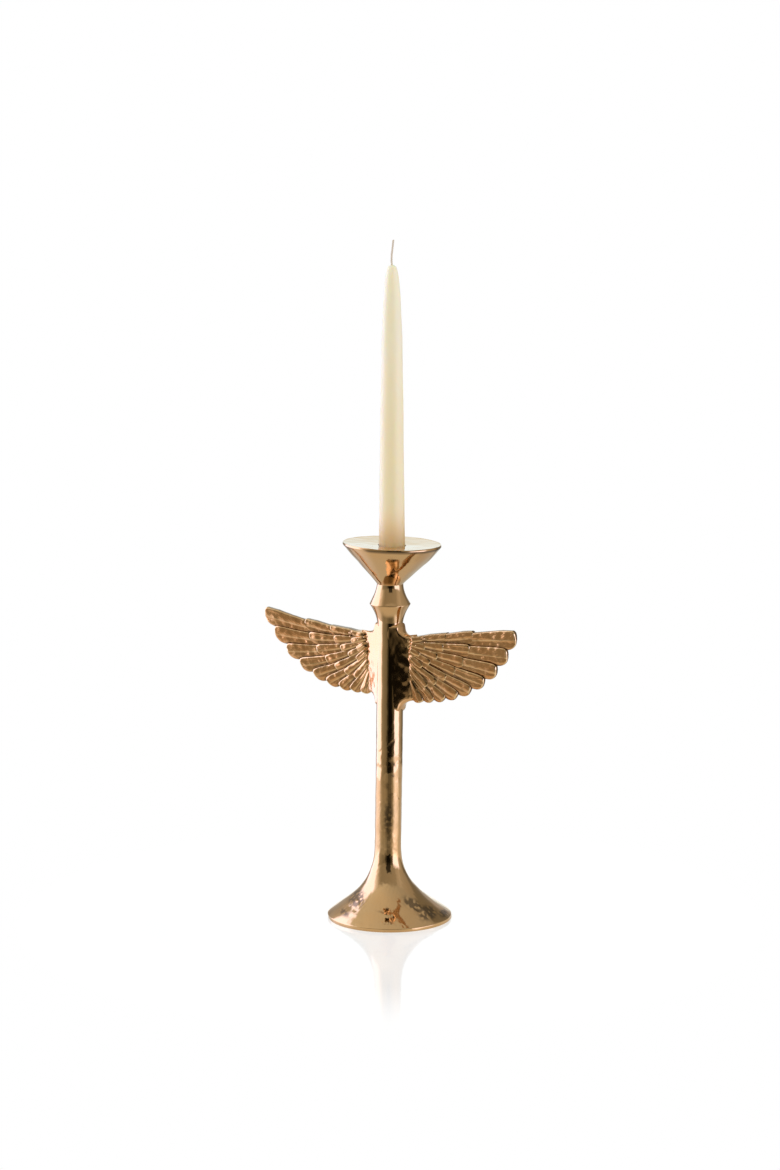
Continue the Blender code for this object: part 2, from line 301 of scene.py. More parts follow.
def cup_section():
    """The funnel, its rim, the pan and the socket."""
    neck = (NECK_RADIUS, KNOP_HEIGHT + KNOP_SHOULDER)
    edge = (CUP_RADIUS, HOLDER_HEIGHT - CUP_EDGE)
    flare = edge[0] - neck[0]
    rise = edge[1] - neck[1]
    funnel = curve(
        neck,
        (neck[0] + 0.27 * flare, neck[1] + 0.30 * rise),
        (edge[0] - 0.25 * flare, edge[1] - 0.33 * rise),
        edge,
    )
    socket = CANDLE_RADIUS + CLEARANCE
    return funnel + [
        (CUP_RADIUS - CUP_RIM / 4, HOLDER_HEIGHT),
        (CUP_RADIUS - CUP_RIM, HOLDER_HEIGHT - CUP_RIM / 4),
        (socket, PAN_HEIGHT),
        (socket, SOCKET_FLOOR),
        (0, SOCKET_FLOOR),
    ]


def rounded(corners, radius):
    """A section resampled evenly, with its corners eased over about a radius."""
    corners = np.array(corners)
    along = run_lengths(corners)
    fine = np.linspace(0, along[-1], int(along[-1] / SECTION_STEP) + 1)
    points = np.stack([np.interp(fine, along, corners[:, k]) for k in (0, 1)], axis=1)
    reach = int(2 * radius / SECTION_STEP)
    spread = np.arange(-reach, reach + 1) * SECTION_STEP / radius
    weights = np.exp(-2 * spread**2)
    weights /= weights.sum()
    before = 2 * points[0] - points[reach:0:-1]
    after = 2 * points[-1] - points[-2 : -reach - 2 : -1]
    padded = np.concatenate([before, points, after])
    eased = np.stack([np.convolve(padded[:, k], weights, mode="valid") for k in (0, 1)], axis=1)
    eased[:, 0] = np.maximum(eased[:, 0], 0)
    return eased


def ring_columns(radius, height):
    """Columns of a ring of the body: most on the wide foot."""
    if radius < ON_AXIS:
        return 1
    if radius < SLIM_RADIUS:
        return SLIM_COLUMNS
    return SLIM_COLUMNS * (2 if radius < WIDE_RADIUS or height > FLARE_HEIGHT else 4)


def candle_columns(radius, _):
    return 1 if radius < ON_AXIS else CANDLE_COLUMNS


def body_rings(section, underside):
    """Places of the rings along a section: closer where it bends, wider where it is hidden."""
    steps = np.diff(section, axis=0)
    heading = np.unwrap(np.arctan2(steps[:, 1], steps[:, 0]))
    gap = np.where(np.arange(len(heading)) < underside, HIDDEN_GAP, RING_GAP)
    turning = np.abs(np.diff(heading, prepend=heading[0]))
    cost = np.concatenate([[0], np.cumsum(SECTION_STEP / gap + turning / BEND_PER_RING)])
    wanted = np.linspace(0, cost[-1], int(cost[-1]) + 1)
    return np.unique(np.round(np.interp(wanted, cost, np.arange(len(cost)))).astype(int))


def skin(low, high):
    """Faces between two rings of vertex numbers, of equal counts or one twice the other."""
    faces = []
    a, b = len(low), len(high)
    if a == 1 or b == 1:
        for i in range(max(a, b)):
            pair = (low[i % a], low[(i + 1) % a]) if a > 1 else (high[(i + 1) % b], high[i])
            faces.append((*pair, high[0] if b == 1 else low[0]))
        return faces
    for i in range(min(a, b)):
        after = (i + 1) % min(a, b)
        if a == b:
            faces.append((low[i], low[after], high[after], high[i]))
        elif a > b:
            first, middle, last = low[2 * i], low[2 * i + 1], low[(2 * i + 2) % a]
            faces += [(first, middle, high[i]), (middle, high[after], high[i]), (middle, last, high[after])]
        else:
            first, middle, last = high[2 * i], high[2 * i + 1], high[(2 * i + 2) % b]
            faces += [(low[i], middle, first), (low[i], low[after], middle), (low[after], last, middle)]
    return faces


def turned(section, underside, columns_at):
    """A section turned round the axis: points, ways out, places along the section, and faces."""
    outward, rings, faces = [], [], []
    places = body_rings(section, underside)
    for place in places:
        columns = columns_at(*section[place])
        turn = 2 * math.pi * np.arange(columns) / columns
        outward.append(np.stack([np.cos(turn), np.sin(turn), np.zeros(columns)], axis=1))
        first = rings[-1][-1] + 1 if rings else 0
        rings.append(range(first, first + columns))
    for low, high in zip(rings, rings[1:]):
        faces += skin(low, high)
    outward = np.concatenate(outward)
    along = np.repeat(places, [len(ring) for ring in rings])
    points = outward * section[along, :1]
    points[:, 2] = section[along, 1]
    return points, outward, along, faces


# Uneven surface of the casting


def section_radius(height):
    """Outer radius of the body at a height, up to the knop."""
    outer = np.array(foot_flare() + knop_section())
    return float(np.interp(height, outer[:, 1], outer[:, 0]))


def mark_centre(around, height):
    """A point on the body; around is degrees to the right of the photograph's camera."""
    turn = CAMERA_BEARING - math.pi / 2 + math.radians(around)
    radius = section_radius(height)
    return np.array((radius * math.cos(turn), radius * math.sin(turn), height))


# Marks of hand finishing that the photograph shows, in degrees and millimetres: degrees to the
# right of the camera, height, half length and half width, slant of the length from upright, and
# how far the mark stands out
MARKS = (
    (-3, 176, 2.6, 1.3, 0, 0.08),
    (12, 168, 3.4, 2.0, 25, 0.08),
    (-2, 163, 1.6, 1.4, 30, 0.10),
    (8, 149, 3.4, 1.1, 40, -0.22),
    (18, 132, 2.4, 1.2, -40, -0.16),
    (-14, 116, 6.0, 1.8, 8, -0.06),
    (2, 92, 1.6, 3.6, 45, -0.05),
    (-2, 84, 1.4, 3.0, 40, 0.06),
    (6, 77, 1.6, 3.4, 20, -0.06),
    (-30, 77, 2.6, 1.4, -30, 0.12),
)

# The same on the foot, where the half length runs up the slope
FOOT_MARKS = (
    (-3, 12.0, 1.8, 2.6, 0, 0.17),
    (4, 10.0, 2.8, 1.6, 0, -0.14),
    (-52, 17.0, 2.0, 4.6, 35, 0.34),
    (-60, 13.0, 1.8, 4.2, 30, -0.34),
    (-46, 12.5, 1.8, 3.0, 20, -0.34),
    (-36, 9.0, 2.0, 3.0, 0, 0.30),
    (-30, 4.6, 1.6, 2.6, 0, 0.32),
    (-20, 4.4, 1.4, 2.2, 0, 0.28),
    (40, 13.0, 3.6, 2.0, -35, -0.46),
    (48, 11.0, 2.6, 2.4, -30, 0.38),
    (56, 9.0, 1.8, 3.4, -20, -0.36),
    (34, 9.0, 1.8, 2.4, 0, 0.26),
)

# Dark patches on the body at listed places: the same, with their darkness last
DARK_PATCHES = (
    (-62, 19, 5.0, 9.0, 20, 2.2),
    (-58, 9, 2.6, 8.0, 10, 0.7),
    (38, 17, 6.0, 4.0, -30, 1.8),
    (50, 10, 4.6, 8.0, -15, 1.8),
    (74, 6, 3.0, 8.0, 0, 1.0),
    (-8, 13, 1.0, 3.6, 25, 0.4),
    (4, 9, 3.4, 1.0, 10, 0.4),
    (0, 86, 13.0, 3.2, 0, 0.8),
    (9, 149, 3.6, 0.9, 40, 1.2),
    (18, 132, 2.4, 1.0, -40, 0.9),
    (16, 122, 1.0, 1.4, 0, 0.8),
)
DARK_PATCH_DEPTH = 2.2
# Darkness of the painted shade under the cup's edge
RIM_PAINTED_SHADE = 1.5

# How far above and below the surface a mark is felt
MARK_REACH = 4 * MM

# Small marks scattered on the sides that the photograph doesn't show: seed, number, and lowest and
# highest place in millimetres
HIDDEN_SIDES = (40, 320)
STEM_SCATTER = (21, 26, 62, 160)
FOOT_SCATTER = (22, 22, 5, 30)

# Heights between which the stem gets smoother upward, and the cup more hammered
SMOOTHER = (120 * MM, 190 * MM)
HAMMERED = (262 * MM, 280 * MM)

# The socket's wall and floor stay smooth up to this radius
SMOOTH_SOCKET = 12.2 * MM

# The casting's small departures from upright, across the photograph's view: height and shift in
# millimetres
LEAN = (
    (0, 0), (9, -0.9), (20, -1.4), (42, -1.9), (60, -1.7),
    (80, -1.4), (112, -1.0), (150, -0.5), (230, -0.1), (262, 0.2),
    (270, -0.2), (280, 0.1), (287, 0.8), (300, 1.6), (540, 1.6),
)

# Slope of the cup's tilt, and the heights between which it sets in and ends
CUP_TILT = 0.034
TILT_START = (284 * MM, 305 * MM)
TILT_END = (320 * MM, 330 * MM)


def mark_field(points, marks):
    """What a list of marks adds at each point, in the unit of their last value."""
    total = np.zeros(len(points))
    for around, *lengths, slant, rise in marks:
        height, half_length, half_width = np.array(lengths) * MM
        centre = mark_centre(around, height)
        outward = Vector((centre[0], centre[1], 0)).normalized()
        level = np.array(outward.cross(Vector((0, 0, -1))))
        slope = section_radius(height + MM) - section_radius(height - MM)
        uphill = np.array(outward) * slope + np.array((0, 0, 2 * MM))
        uphill /= np.linalg.norm(uphill)
        tilt = math.radians(slant)
        long_way = uphill * math.cos(tilt) + level * math.sin(tilt)
        short_way = level * math.cos(tilt) - uphill * math.sin(tilt)
        offset = points - centre
        near = (offset @ long_way / half_length) ** 2 + (offset @ short_way / half_width) ** 2
        deep = offset @ np.cross(long_way, short_way) / MARK_REACH
        total += rise * np.exp(-near - deep**2)
    return total


def scattered_marks(seed, count, low, high):
    """Small dents and bumps on the sides away from the camera, so that none is bare."""
    chance = np.random.default_rng(seed)
    marks = []
    for _ in range(count):
        around = chance.uniform(*HIDDEN_SIDES)
        height = chance.uniform(low, high)
        half_length = chance.uniform(1.0, 2.6)
        half_width = chance.uniform(1.0, 3.0)
        rise = chance.uniform(0.06, 0.2) * chance.choice((-1, 1))
        marks.append((around, height, half_length, half_width, chance.uniform(-60, 60), rise))
    return marks


def unevenness(points):
    """How far the casting's surface stands out at each point, from broad waves to fine grain."""
    lower = 1 - ease(*SMOOTHER, points[:, 2])
    upper = ease(*HAMMERED, points[:, 2])
    broad = 0.14 * MM * ripples(points, 48 * MM, 11)
    planished = (0.034 + 0.018 * lower + 0.030 * upper) * MM * ripples(points, 14 * MM, 12)
    patches = ease(-0.4, 0.8, ripples(points, 30 * MM, 14))
    grain = (0.005 + 0.013 * lower * patches) * MM * ripples(points, 2.8 * MM, 13)
    return broad + planished + grain


def lean(points):
    """The points moved with the casting's lean and the cup's tilt."""
    heights, shifts = np.array(LEAN).T * MM
    right = np.array(CAMERA_RIGHT)
    height = points[:, 2]
    moved = points + np.interp(height, heights, shifts)[:, None] * right
    tilt = CUP_TILT * ease(*TILT_START, height) * (1 - ease(*TILT_END, height))
    moved[:, 2] -= tilt * (points @ right)
    return moved


def body_dark_patches_and_shade(points, height, facing_up):
    """Darkness on the body: the listed dark patches, and painted shade under the cup's edge."""
    speckle = ease(-1.4, 0.4, ripples(points, 3.4 * MM, 15))
    listed = DARK_PATCH_DEPTH * mark_field(points, DARK_PATCHES) * speckle
    # Painted shade on the down-facing surface just under the cup's edge, broken into blotches
    below_edge = HOLDER_HEIGHT - CUP_EDGE - height
    under_rim = ease(0.1, 0.4, -facing_up) * (1 - ease(0.9 * MM, 2.2 * MM, below_edge))
    blotches = ease(-1.3, 0.3, ripples(points, 24 * MM, 16)) * (height > PAN_HEIGHT - 9 * MM)
    return np.clip(listed + RIM_PAINTED_SHADE * under_rim * blotches, 0, 1)


def turned_body(finish):
    hollow = foot_hollow(foot_flare())
    outside = [(FOOT_RADIUS, 0)] + foot_flare() + knop_section() + cup_section()
    section = rounded(hollow + outside, EDGE_EASE)
    section[:, 1] = np.maximum(section[:, 1], 0)
    underside = int(run_lengths(np.array(hollow))[-1] / SECTION_STEP)
    points, outward, along, faces = turned(section, underside, ring_columns)
    tangents = np.gradient(section, axis=0)
    tangents /= np.linalg.norm(tangents, axis=1, keepdims=True) + 1e-12
    normals = outward * tangents[along, 1:]
    normals[:, 2] = -tangents[along, 0]
    height = points[:, 2]
    shown = ease(0.2 * MM, 2.5 * MM, height)
    across = np.hypot(points[:, 0], points[:, 1])
    in_socket = (across < SMOOTH_SOCKET) & (height > SOCKET_FLOOR - MM) & (normals[:, 2] > -0.5)
    scattered = scattered_marks(*STEM_SCATTER) + scattered_marks(*FOOT_SCATTER)
    raised = unevenness(points) + MM * mark_field(points, [*MARKS, *FOOT_MARKS, *scattered])
    points = points + normals * (raised * shown * np.where(in_socket, 0, 1))[:, None]
    dark_patches_and_painted_shade = body_dark_patches_and_shade(points, height, normals[:, 2])
    return new_mesh("holder_body", lean(points), faces, [finish], {"dark_patches_and_painted_shade": dark_patches_and_painted_shade})


# Wings


def leading_edge(out):
    """Height of the wing's upper edge at a distance from the axis."""
    return FAN_HEIGHT + EDGE_ABOVE_FAN + EDGE_RISE * (out - FAN_OUT)


def wing_point(side, out, up, depth):
    """Places the layout: side is 1 for the right wing and -1 for the left, depth is to the front."""
    up = leading_edge(out) - (leading_edge(out) - up) * (1 + side * WING_STRETCH)
    span = np.clip((out - FAN_OUT) / OUTER_REACH, 0, 1)
    grip = np.clip(out / FAN_OUT, 0, 1) ** 2
    middle = grip * (WING_FORWARD - WING_LEAN * (leading_edge(out) - up)) + TIP_FORWARD * span**2
    bow = side * WING_BOW * np.sin(math.pi * span)
    return np.stack([side * out, -(middle + depth), up + bow], axis=-1)


def feather_path(turn, share):
    """Root and tip of the feather at a turn of the fan, 0 at the leading edge and 1 at the stem."""
    angle = FAN_TOP_ANGLE - FAN_SWEEP * turn**FAN_CROWDING
    swept = (1 - turn) ** REACH_FALL * (1 + REACH_SWELL * turn * (1 - turn))
    length = share * mix(INNER_REACH, OUTER_REACH, swept)
    tip = np.array((FAN_OUT + length * math.cos(angle), FAN_HEIGHT + length * math.sin(angle)))
    root = np.array((FAN_OUT - 0.08 * ROOT_DROP * turn, FAN_HEIGHT - ROOT_DROP * turn * share))
    return root, tip


def crowded(length, gap, edge_steps):
    """Distances from 0 to length: the given steps in from each end, and even ones between."""
    inner = np.array(edge_steps)
    inner = inner[inner < 0.3 * length]
    count = max(2, int((length - 2 * inner[-1]) / gap))
    middle = np.linspace(inner[-1], length - inner[-1], count)
    return np.concatenate([inner[:-1], middle, (length - inner[:-1])[::-1]])


def feather_stations(length, shown_from):
    """Distances along a feather: wide under the feathers above it, fine where it shows."""
    hidden = np.arange(0, shown_from * length, HIDDEN_VANE_GAP)
    shown = np.arange(shown_from * length, length - MM, VANE_GAP)
    return np.concatenate([hidden, shown, length - TIP_STEPS])[:, None]


def ridge(shape, distance):
    """Height of a rounded ridge at distances from the shaft or edge that it follows."""
    rise, middle, half_width = shape
    return rise * np.exp(-(((distance - middle) / half_width) ** 2))


def quarter_round(share):
    """Rise of a rounded edge, from 0 at the edge to 1 at a share of 1."""
    return np.sqrt(1 - (1 - np.clip(share, 0, 1)) ** 2)


def feather_relief(distance, length, side, offset, edges, closing, chance):
    """Height of the ridges, barbs and flutes of a feather, and how much wear and painted highlight its
    ridges get.
    """
    to_lead, to_trail, to_tip = edges
    station = distance / length
    ridges = ridge(SHAFT_RIDGE, offset) * (1 - 0.6 * station**3) + ridge(EDGE_RIDGE, to_lead)
    round_tip = np.minimum(to_tip, to_trail + 2 * MM * (1 - closing))
    ridges = ridges + ridge(TIP_RIDGE, round_tip)
    wobble = BARB_WOBBLE * np.sin(distance / (3.1 * MM) + chance.uniform(0, 6))
    phase = (0.42 * distance - 0.90 * np.abs(offset) + wobble) * 2 * math.pi / BARB_GAP
    barbed = ease(0.5 * MM, 1.2 * MM, np.abs(offset)) * ease(0.5 * MM, 1.6 * MM, to_lead)
    barbed = barbed * ease(0, MM, to_trail) * ease(0.6 * MM, 2.0 * MM, to_tip)
    turns = chance.uniform(2.1, 2.9) * math.pi
    drift = 0.9 * np.sin(distance / (13 * MM) + chance.uniform(0, 6))
    flutes = FLUTE_RISE * np.sin(turns * side + drift) * ease(0, 0.2, station) * (1 - closing**2)
    return ridges + BARB_RISE * np.sin(phase) * barbed + flutes, ridges / WEAR_AND_HIGHLIGHT_RISE


def feather_grid(path, half_width, tier, shown_from, seed):
    """Layout places, depths, and wear with painted highlight of one feather's front, root to tip by leading
    to trailing side.
    """
    root, tip = path
    length = float(np.linalg.norm(tip - root))
    along = (tip - root) / length
    across = np.array((-along[1], along[0]))
    distance = feather_stations(length, shown_from)
    station = distance / length
    taper = min(TIP_LENGTH * half_width / length, LONGEST_TIP)
    widening = np.minimum(1, station / (1 - taper))
    width = mix(min(FEATHER_ROOT_HALF_WIDTH, half_width), half_width, widening)
    closing = np.clip((station - 1 + taper) / taper, 0, 1)
    sag = FEATHER_BEND * length * 4 * station * (1 - station)
    shaft = root + distance * along - sag * across
    headroom = leading_edge(shaft[:, :1]) - tier * TIER_INSET - shaft[:, 1:]
    lead = np.minimum(width * (1 - closing**7) ** 0.36, headroom)
    trail = width * np.maximum(1 - closing**2.2, 0) ** 0.5
    side = 1 - crowded(2 * half_width, ACROSS_GAP, ACROSS_EDGE) / half_width
    offset = np.where(side > 0, side * lead, side * trail)
    places = shaft[:, None, :] + offset[:, :, None] * across
    edges = (lead - offset, trail + offset, length - distance)

    chance = np.random.default_rng(seed)
    twist = chance.uniform(-FEATHER_TWIST, FEATHER_TWIST)
    dome = mix(FEATHER_TRAIL, FEATHER_LEAD, (side + 1) / 2) + FEATHER_DOME * (1 - side**2)
    beyond = np.maximum(0, places[..., 0] - ROOT_RISE_OUT)
    relief, wear_and_highlight = feather_relief(distance, length, side, offset, edges, closing, chance)
    depth = dome + tier * TIER_STEP + twist * side * station + relief
    depth += ROOT_RISE * np.exp(-((beyond / ROOT_RISE_SPREAD) ** 2))
    depth *= 1 - TIP_THINNING * closing**2
    for (slope, reach), to_edge in zip(BEVELS, edges):
        depth -= slope * np.maximum(0, reach - to_edge)
    depth *= mix(ROOT_SHARE, 1, ease(0, ROOT_LENGTH, distance))
    depth *= quarter_round(np.minimum(np.minimum(edges[0], edges[1]), edges[2]) / EDGE_ROUND)
    return places, np.maximum(depth, THINNEST_FEATHER), wear_and_highlight


def grid_faces(rows, columns, first):
    """Faces of a closed tube of rows by columns vertices, capped at both ends."""
    faces = []
    for i in range(rows - 1):
        for j in range(columns):
            k = (j + 1) % columns
            a, b = first + i * columns, first + (i + 1) * columns
            faces.append((a + j, b + j, b + k, a + k))
    faces.append(tuple(first + j for j in range(columns)))
    last = first + (rows - 1) * columns
    faces.append(tuple(last + j for j in reversed(range(columns))))
    return faces


class Sheets:
    """Gathers closed front-and-back sheets of a wing into one mesh."""

    def __init__(self, side):
        self.side = side
        self.points = []
        self.faces = []
        self.fronts = []
        self.wear_and_highlight = []
        self.count = 0

    def add(self, places, depth, wear_and_highlight):
        front = wing_point(self.side, places[..., 0], places[..., 1], depth)
        back = wing_point(self.side, places[:, ::-1, 0], places[:, ::-1, 1], -depth[:, ::-1])
        back = back[:, 1:-1]
        ring = np.concatenate([front, back], axis=1)
        faces = grid_faces(len(ring), ring.shape[1], self.count)
        if self.side > 0:
            faces = [face[::-1] for face in faces]
        self.points.append(ring.reshape(-1, 3))
        self.wear_and_highlight.append(around_sheet(wear_and_highlight))
        self.faces += faces
        self.fronts.append((places, depth))
        self.count += ring.shape[0] * ring.shape[1]


def web_grid():
    """The plate between stem and feathers, with its top and bottom filleted into the stem."""
    out = np.linspace(0, WEB_LENGTH, WEB_ROWS)[:, None]
    inside = np.clip((STEM_RADIUS + WEB_FILLET - out) / WEB_FILLET, 0, 1)
    hollowed = 1 - np.sqrt(np.maximum(0, 1 - inside**2))
    top = leading_edge(np.maximum(out, FAN_OUT)) - TIER_INSET + WEB_FILLET * hollowed
    bottom = FAN_HEIGHT - WEB_DEPTH - WEB_FILLET * hollowed
    height = top - bottom
    share = crowded(1.0, 0.02, WEB_STEPS / WEB_DEPTH)
    places = np.stack(np.broadcast_arrays(out, top - share * height), axis=-1)
    slanted = STEM_RADIUS * math.hypot(1, WEB_SLANT) - WEB_SLANT * out
    flank = WEB_END_DEPTH + MM * np.logaddexp(0, (slanted - WEB_END_DEPTH) / MM)
    flank *= 1 - 0.7 * ease(20 * MM, WEB_LENGTH, out)
    touching = STEM_RADIUS * WEB_SLANT / math.hypot(1, WEB_SLANT)
    under_stem = np.sqrt(np.maximum(0, STEM_RADIUS**2 - out**2)) - WEB_SUNK * (1 - out / touching)
    to_edge = np.minimum(share, 1 - share) * height
    depth = np.where(out < touching, under_stem, flank) * quarter_round(to_edge / WEB_ROUND)
    return places, np.maximum(depth, THINNEST_SHEET), np.full_like(depth, WEB_WEAR_AND_HIGHLIGHT)


def valleys(sheets):
    """Shares of painted shade on each sheet's points, by how far they lie below the wing's smoothed front,
    sheet by sheet.
    """
    places = np.concatenate([place.reshape(-1, 2) for place, _ in sheets.fronts])
    depths = np.concatenate([depth.ravel() for _, depth in sheets.fronts])
    low = places.min(axis=0) - VALLEY_MARGIN
    size = np.ceil((places.max(axis=0) + VALLEY_MARGIN - low) / VALLEY_CELL).astype(int) + 1
    front = np.zeros(size)
    spots = np.round((places - low) / VALLEY_CELL).astype(int)
    np.maximum.at(front, (spots[:, 0], spots[:, 1]), depths)
    for axis in (0, 1):
        beside = np.maximum(np.roll(front, 1, axis=axis), np.roll(front, -1, axis=axis))
        front = np.maximum(front, beside)
    for axis in (0, 1):
        for _ in range(2):
            front = sum(np.roll(front, step, axis=axis) for step in range(-2, 3)) / 5
    shares = []
    for place, depth in sheets.fronts:
        spots = np.round((place - low) / VALLEY_CELL).astype(int)
        deep = ease(*VALLEY_DEPTHS, front[spots[..., 0], spots[..., 1]] - depth)
        shares.append(deep * ease(*VALLEY_FROM, place[..., 0]))
    return shares


def around_sheet(values):
    """Values of a sheet's front repeated on its back, in the order of its vertices."""
    return np.concatenate([values, values[:, ::-1][:, 1:-1]], axis=1).ravel()


def lump_grid(centre, half_out, half_up, rise):
    """A lens-shaped lump through the wing."""
    v = np.sin(np.linspace(-1, 1, LUMP_ROWS) * math.pi / 2)[:, None]
    u = np.sin(np.linspace(1, -1, LUMP_ROWS) * math.pi / 2)
    width = np.sqrt(np.maximum(1 - v**2, 1e-4))
    out = centre[0] + half_out * width * u
    up = centre[1] + half_up * v + 0 * u
    near = ((out - centre[0]) / half_out) ** 2 + ((up - centre[1]) / half_up) ** 2
    depth = np.maximum(rise * np.sqrt(np.maximum(1 - near, 0)), THINNEST_SHEET)
    return np.stack([out, up], axis=-1), depth, np.full_like(depth, LUMP_WEAR_AND_HIGHLIGHT)


def lumps(seed):
    """Lumps along the feathers' roots and scattered on the shoulder."""
    chance = np.random.default_rng(seed)
    made = []
    count, *sizes = ROOT_LUMPS
    for step in np.linspace(0.06, 0.96, count):
        up = leading_edge(FAN_OUT) - 2.5 * MM - step * 44 * MM
        out = FAN_OUT - 0.6 * MM + chance.uniform(-1.2, 1.2) * MM - MM * step
        made.append(((out, up), *(chance.uniform(*sizes) * MM)))
    count, *sizes = SHOULDER_LUMPS
    for _ in range(count):
        out = chance.uniform(20, 36) * MM
        up = leading_edge(out) - chance.uniform(2.2, 11) * MM
        made.append(((out, up), *(chance.uniform(*sizes) * MM)))
    return made


def wing(side, finish):
    sheets = Sheets(side)
    for lump in lumps(61):
        sheets.add(*lump_grid(*lump))
    sheets.add(*web_grid())
    for tier, (count, end, first_share, last_share, first_width, last_width, hidden) in enumerate(TIERS):
        for number in range(count):
            order = number / (count - 1)
            path = feather_path(end * order, mix(first_share, last_share, order))
            half_width = mix(first_width, last_width, order)
            sheets.add(*feather_grid(path, half_width, tier, hidden, 100 * tier + number))
    points = np.concatenate(sheets.points)
    dented = sum(rise * ripples(points, wavelength, seed) for rise, wavelength, seed in DENTS)
    dented *= mix(DENTED_AT_STEM, 1, ease(*DENTED_FROM, np.abs(points[:, 0])))
    moved = points.copy()
    moved[:, 1] += np.sign(points[:, 1]) * (WING_UNEVENNESS * unevenness(points) + dented)
    # Painted shade in the valleys between the feathers, where they pass under their neighbours
    dark_patches_and_painted_shade = np.concatenate([around_sheet(share) for share in valleys(sheets)])
    levels = {"dark_patches_and_painted_shade": dark_patches_and_painted_shade, "wear_and_highlight": np.clip(np.concatenate(sheets.wear_and_highlight), 0, 1)}
    name = "wing_right" if side > 0 else "wing_left"
    return new_mesh(name, lean(moved), sheets.faces, [finish], levels)


# Candle and wick


def candle(finish):
    bottom = SOCKET_FLOOR + CLEARANCE
    top = bottom + CANDLE_LENGTH + WAX_RISE
    shoulder = (CANDLE_SHOULDER_RADIUS, top - CANDLE_TIP_LENGTH)
    tip = (CANDLE_END_RADIUS, top - 0.02 * CANDLE_TIP_LENGTH)
    ogive = curve(
        shoulder,
        (0.88 * shoulder[0], shoulder[1] + 0.35 * CANDLE_TIP_LENGTH),
        (0.80 * shoulder[0], shoulder[1] + 0.87 * CANDLE_TIP_LENGTH),
        tip,
    )
    under = [(0, bottom), (CANDLE_RADIUS, bottom), shoulder]
    dimple = [(WICK_RADIUS, top), (0, top - 0.3 * MM)]
    section = rounded(under + ogive + dimple, CANDLE_EASE)
    points, outward, _, faces = turned(section, 0, candle_columns)
    off_axis = np.hypot(points[:, 0], points[:, 1]) > ON_AXIS
    above = ease(PAN_HEIGHT, PAN_HEIGHT + 2 * MM, points[:, 2])
    raised = 0.06 * MM * ripples(points, 40 * MM, 31)
    raised += 0.02 * MM * ripples(points * (1, 1, 2.2), 9 * MM, 32)
    points = points + outward * (raised * above * off_axis)[:, None]
    return new_mesh("taper_candle", lean(points), faces, [finish])


def wick(finish):
    """Three plaited strands that lean a little."""
    wax_top = SOCKET_FLOOR + CLEARANCE + CANDLE_LENGTH
    heights = np.linspace(-WICK_HIDDEN, WICK_SHOWING, WICK_ROWS)
    share = np.clip(heights / WICK_SHOWING, 0, 1)
    sway = WICK_SWAY * np.interp(share, (0, 0.2, 0.45, 0.75, 1), (0, -0.35, -0.2, 0.5, 1))
    radius = STRAND_RADIUS * np.sqrt(np.clip((WICK_SHOWING - heights) / (0.5 * MM), 0.02, 1))
    around = 2 * math.pi * np.arange(STRAND_COLUMNS) / STRAND_COLUMNS
    circle = np.stack([np.cos(around), np.sin(around), 0 * around], axis=1)
    points, faces = [], []
    for strand in range(STRANDS):
        turn = 2 * math.pi * (heights / STRAND_PITCH + strand / STRANDS)
        beside, ahead = STRAND_REACH * np.cos(turn), STRAND_REACH * np.sin(turn)
        centre = np.stack([sway + beside, ahead, wax_top + heights], axis=1)
        tube = centre[:, None, :] + radius[:, None, None] * circle
        first = strand * WICK_ROWS * STRAND_COLUMNS
        faces += [face[::-1] for face in grid_faces(WICK_ROWS, STRAND_COLUMNS, first)]
        points.append(tube.reshape(-1, 3))
    return new_mesh("plaited_wick", lean(np.concatenate(points)), faces, [finish])


# Materials


BODY_TONES = ((0.70, 0.445, 0.20), (0.73, 0.44, 0.185))
FEATHER_TONES = ((0.69, 0.37, 0.14), (0.72, 0.35, 0.122))
STAIN_TONE = (0.52, 0.30, 0.12)
# Deep brown of the dark patches and of the painted shade
DARK_PATCH_AND_SHADE_TONE = (0.16, 0.10, 0.045)
# Lighter colour of rubbed ridges, lumps and web: wear, and a painted highlight
RUBBED_AND_HIGHLIGHT_TONE = (0.97, 0.70, 0.35)
# Wax tones; the first, deeper one is a painted reflection of the brass pan near the cup
WAX_AND_PAN_REFLECTION_TONES = ((0.85, 0.67, 0.36), (0.99, 0.85, 0.55), (0.91, 0.87, 0.63))
COTTON_TONES = ((0.62, 0.53, 0.38), (0.80, 0.74, 0.60))


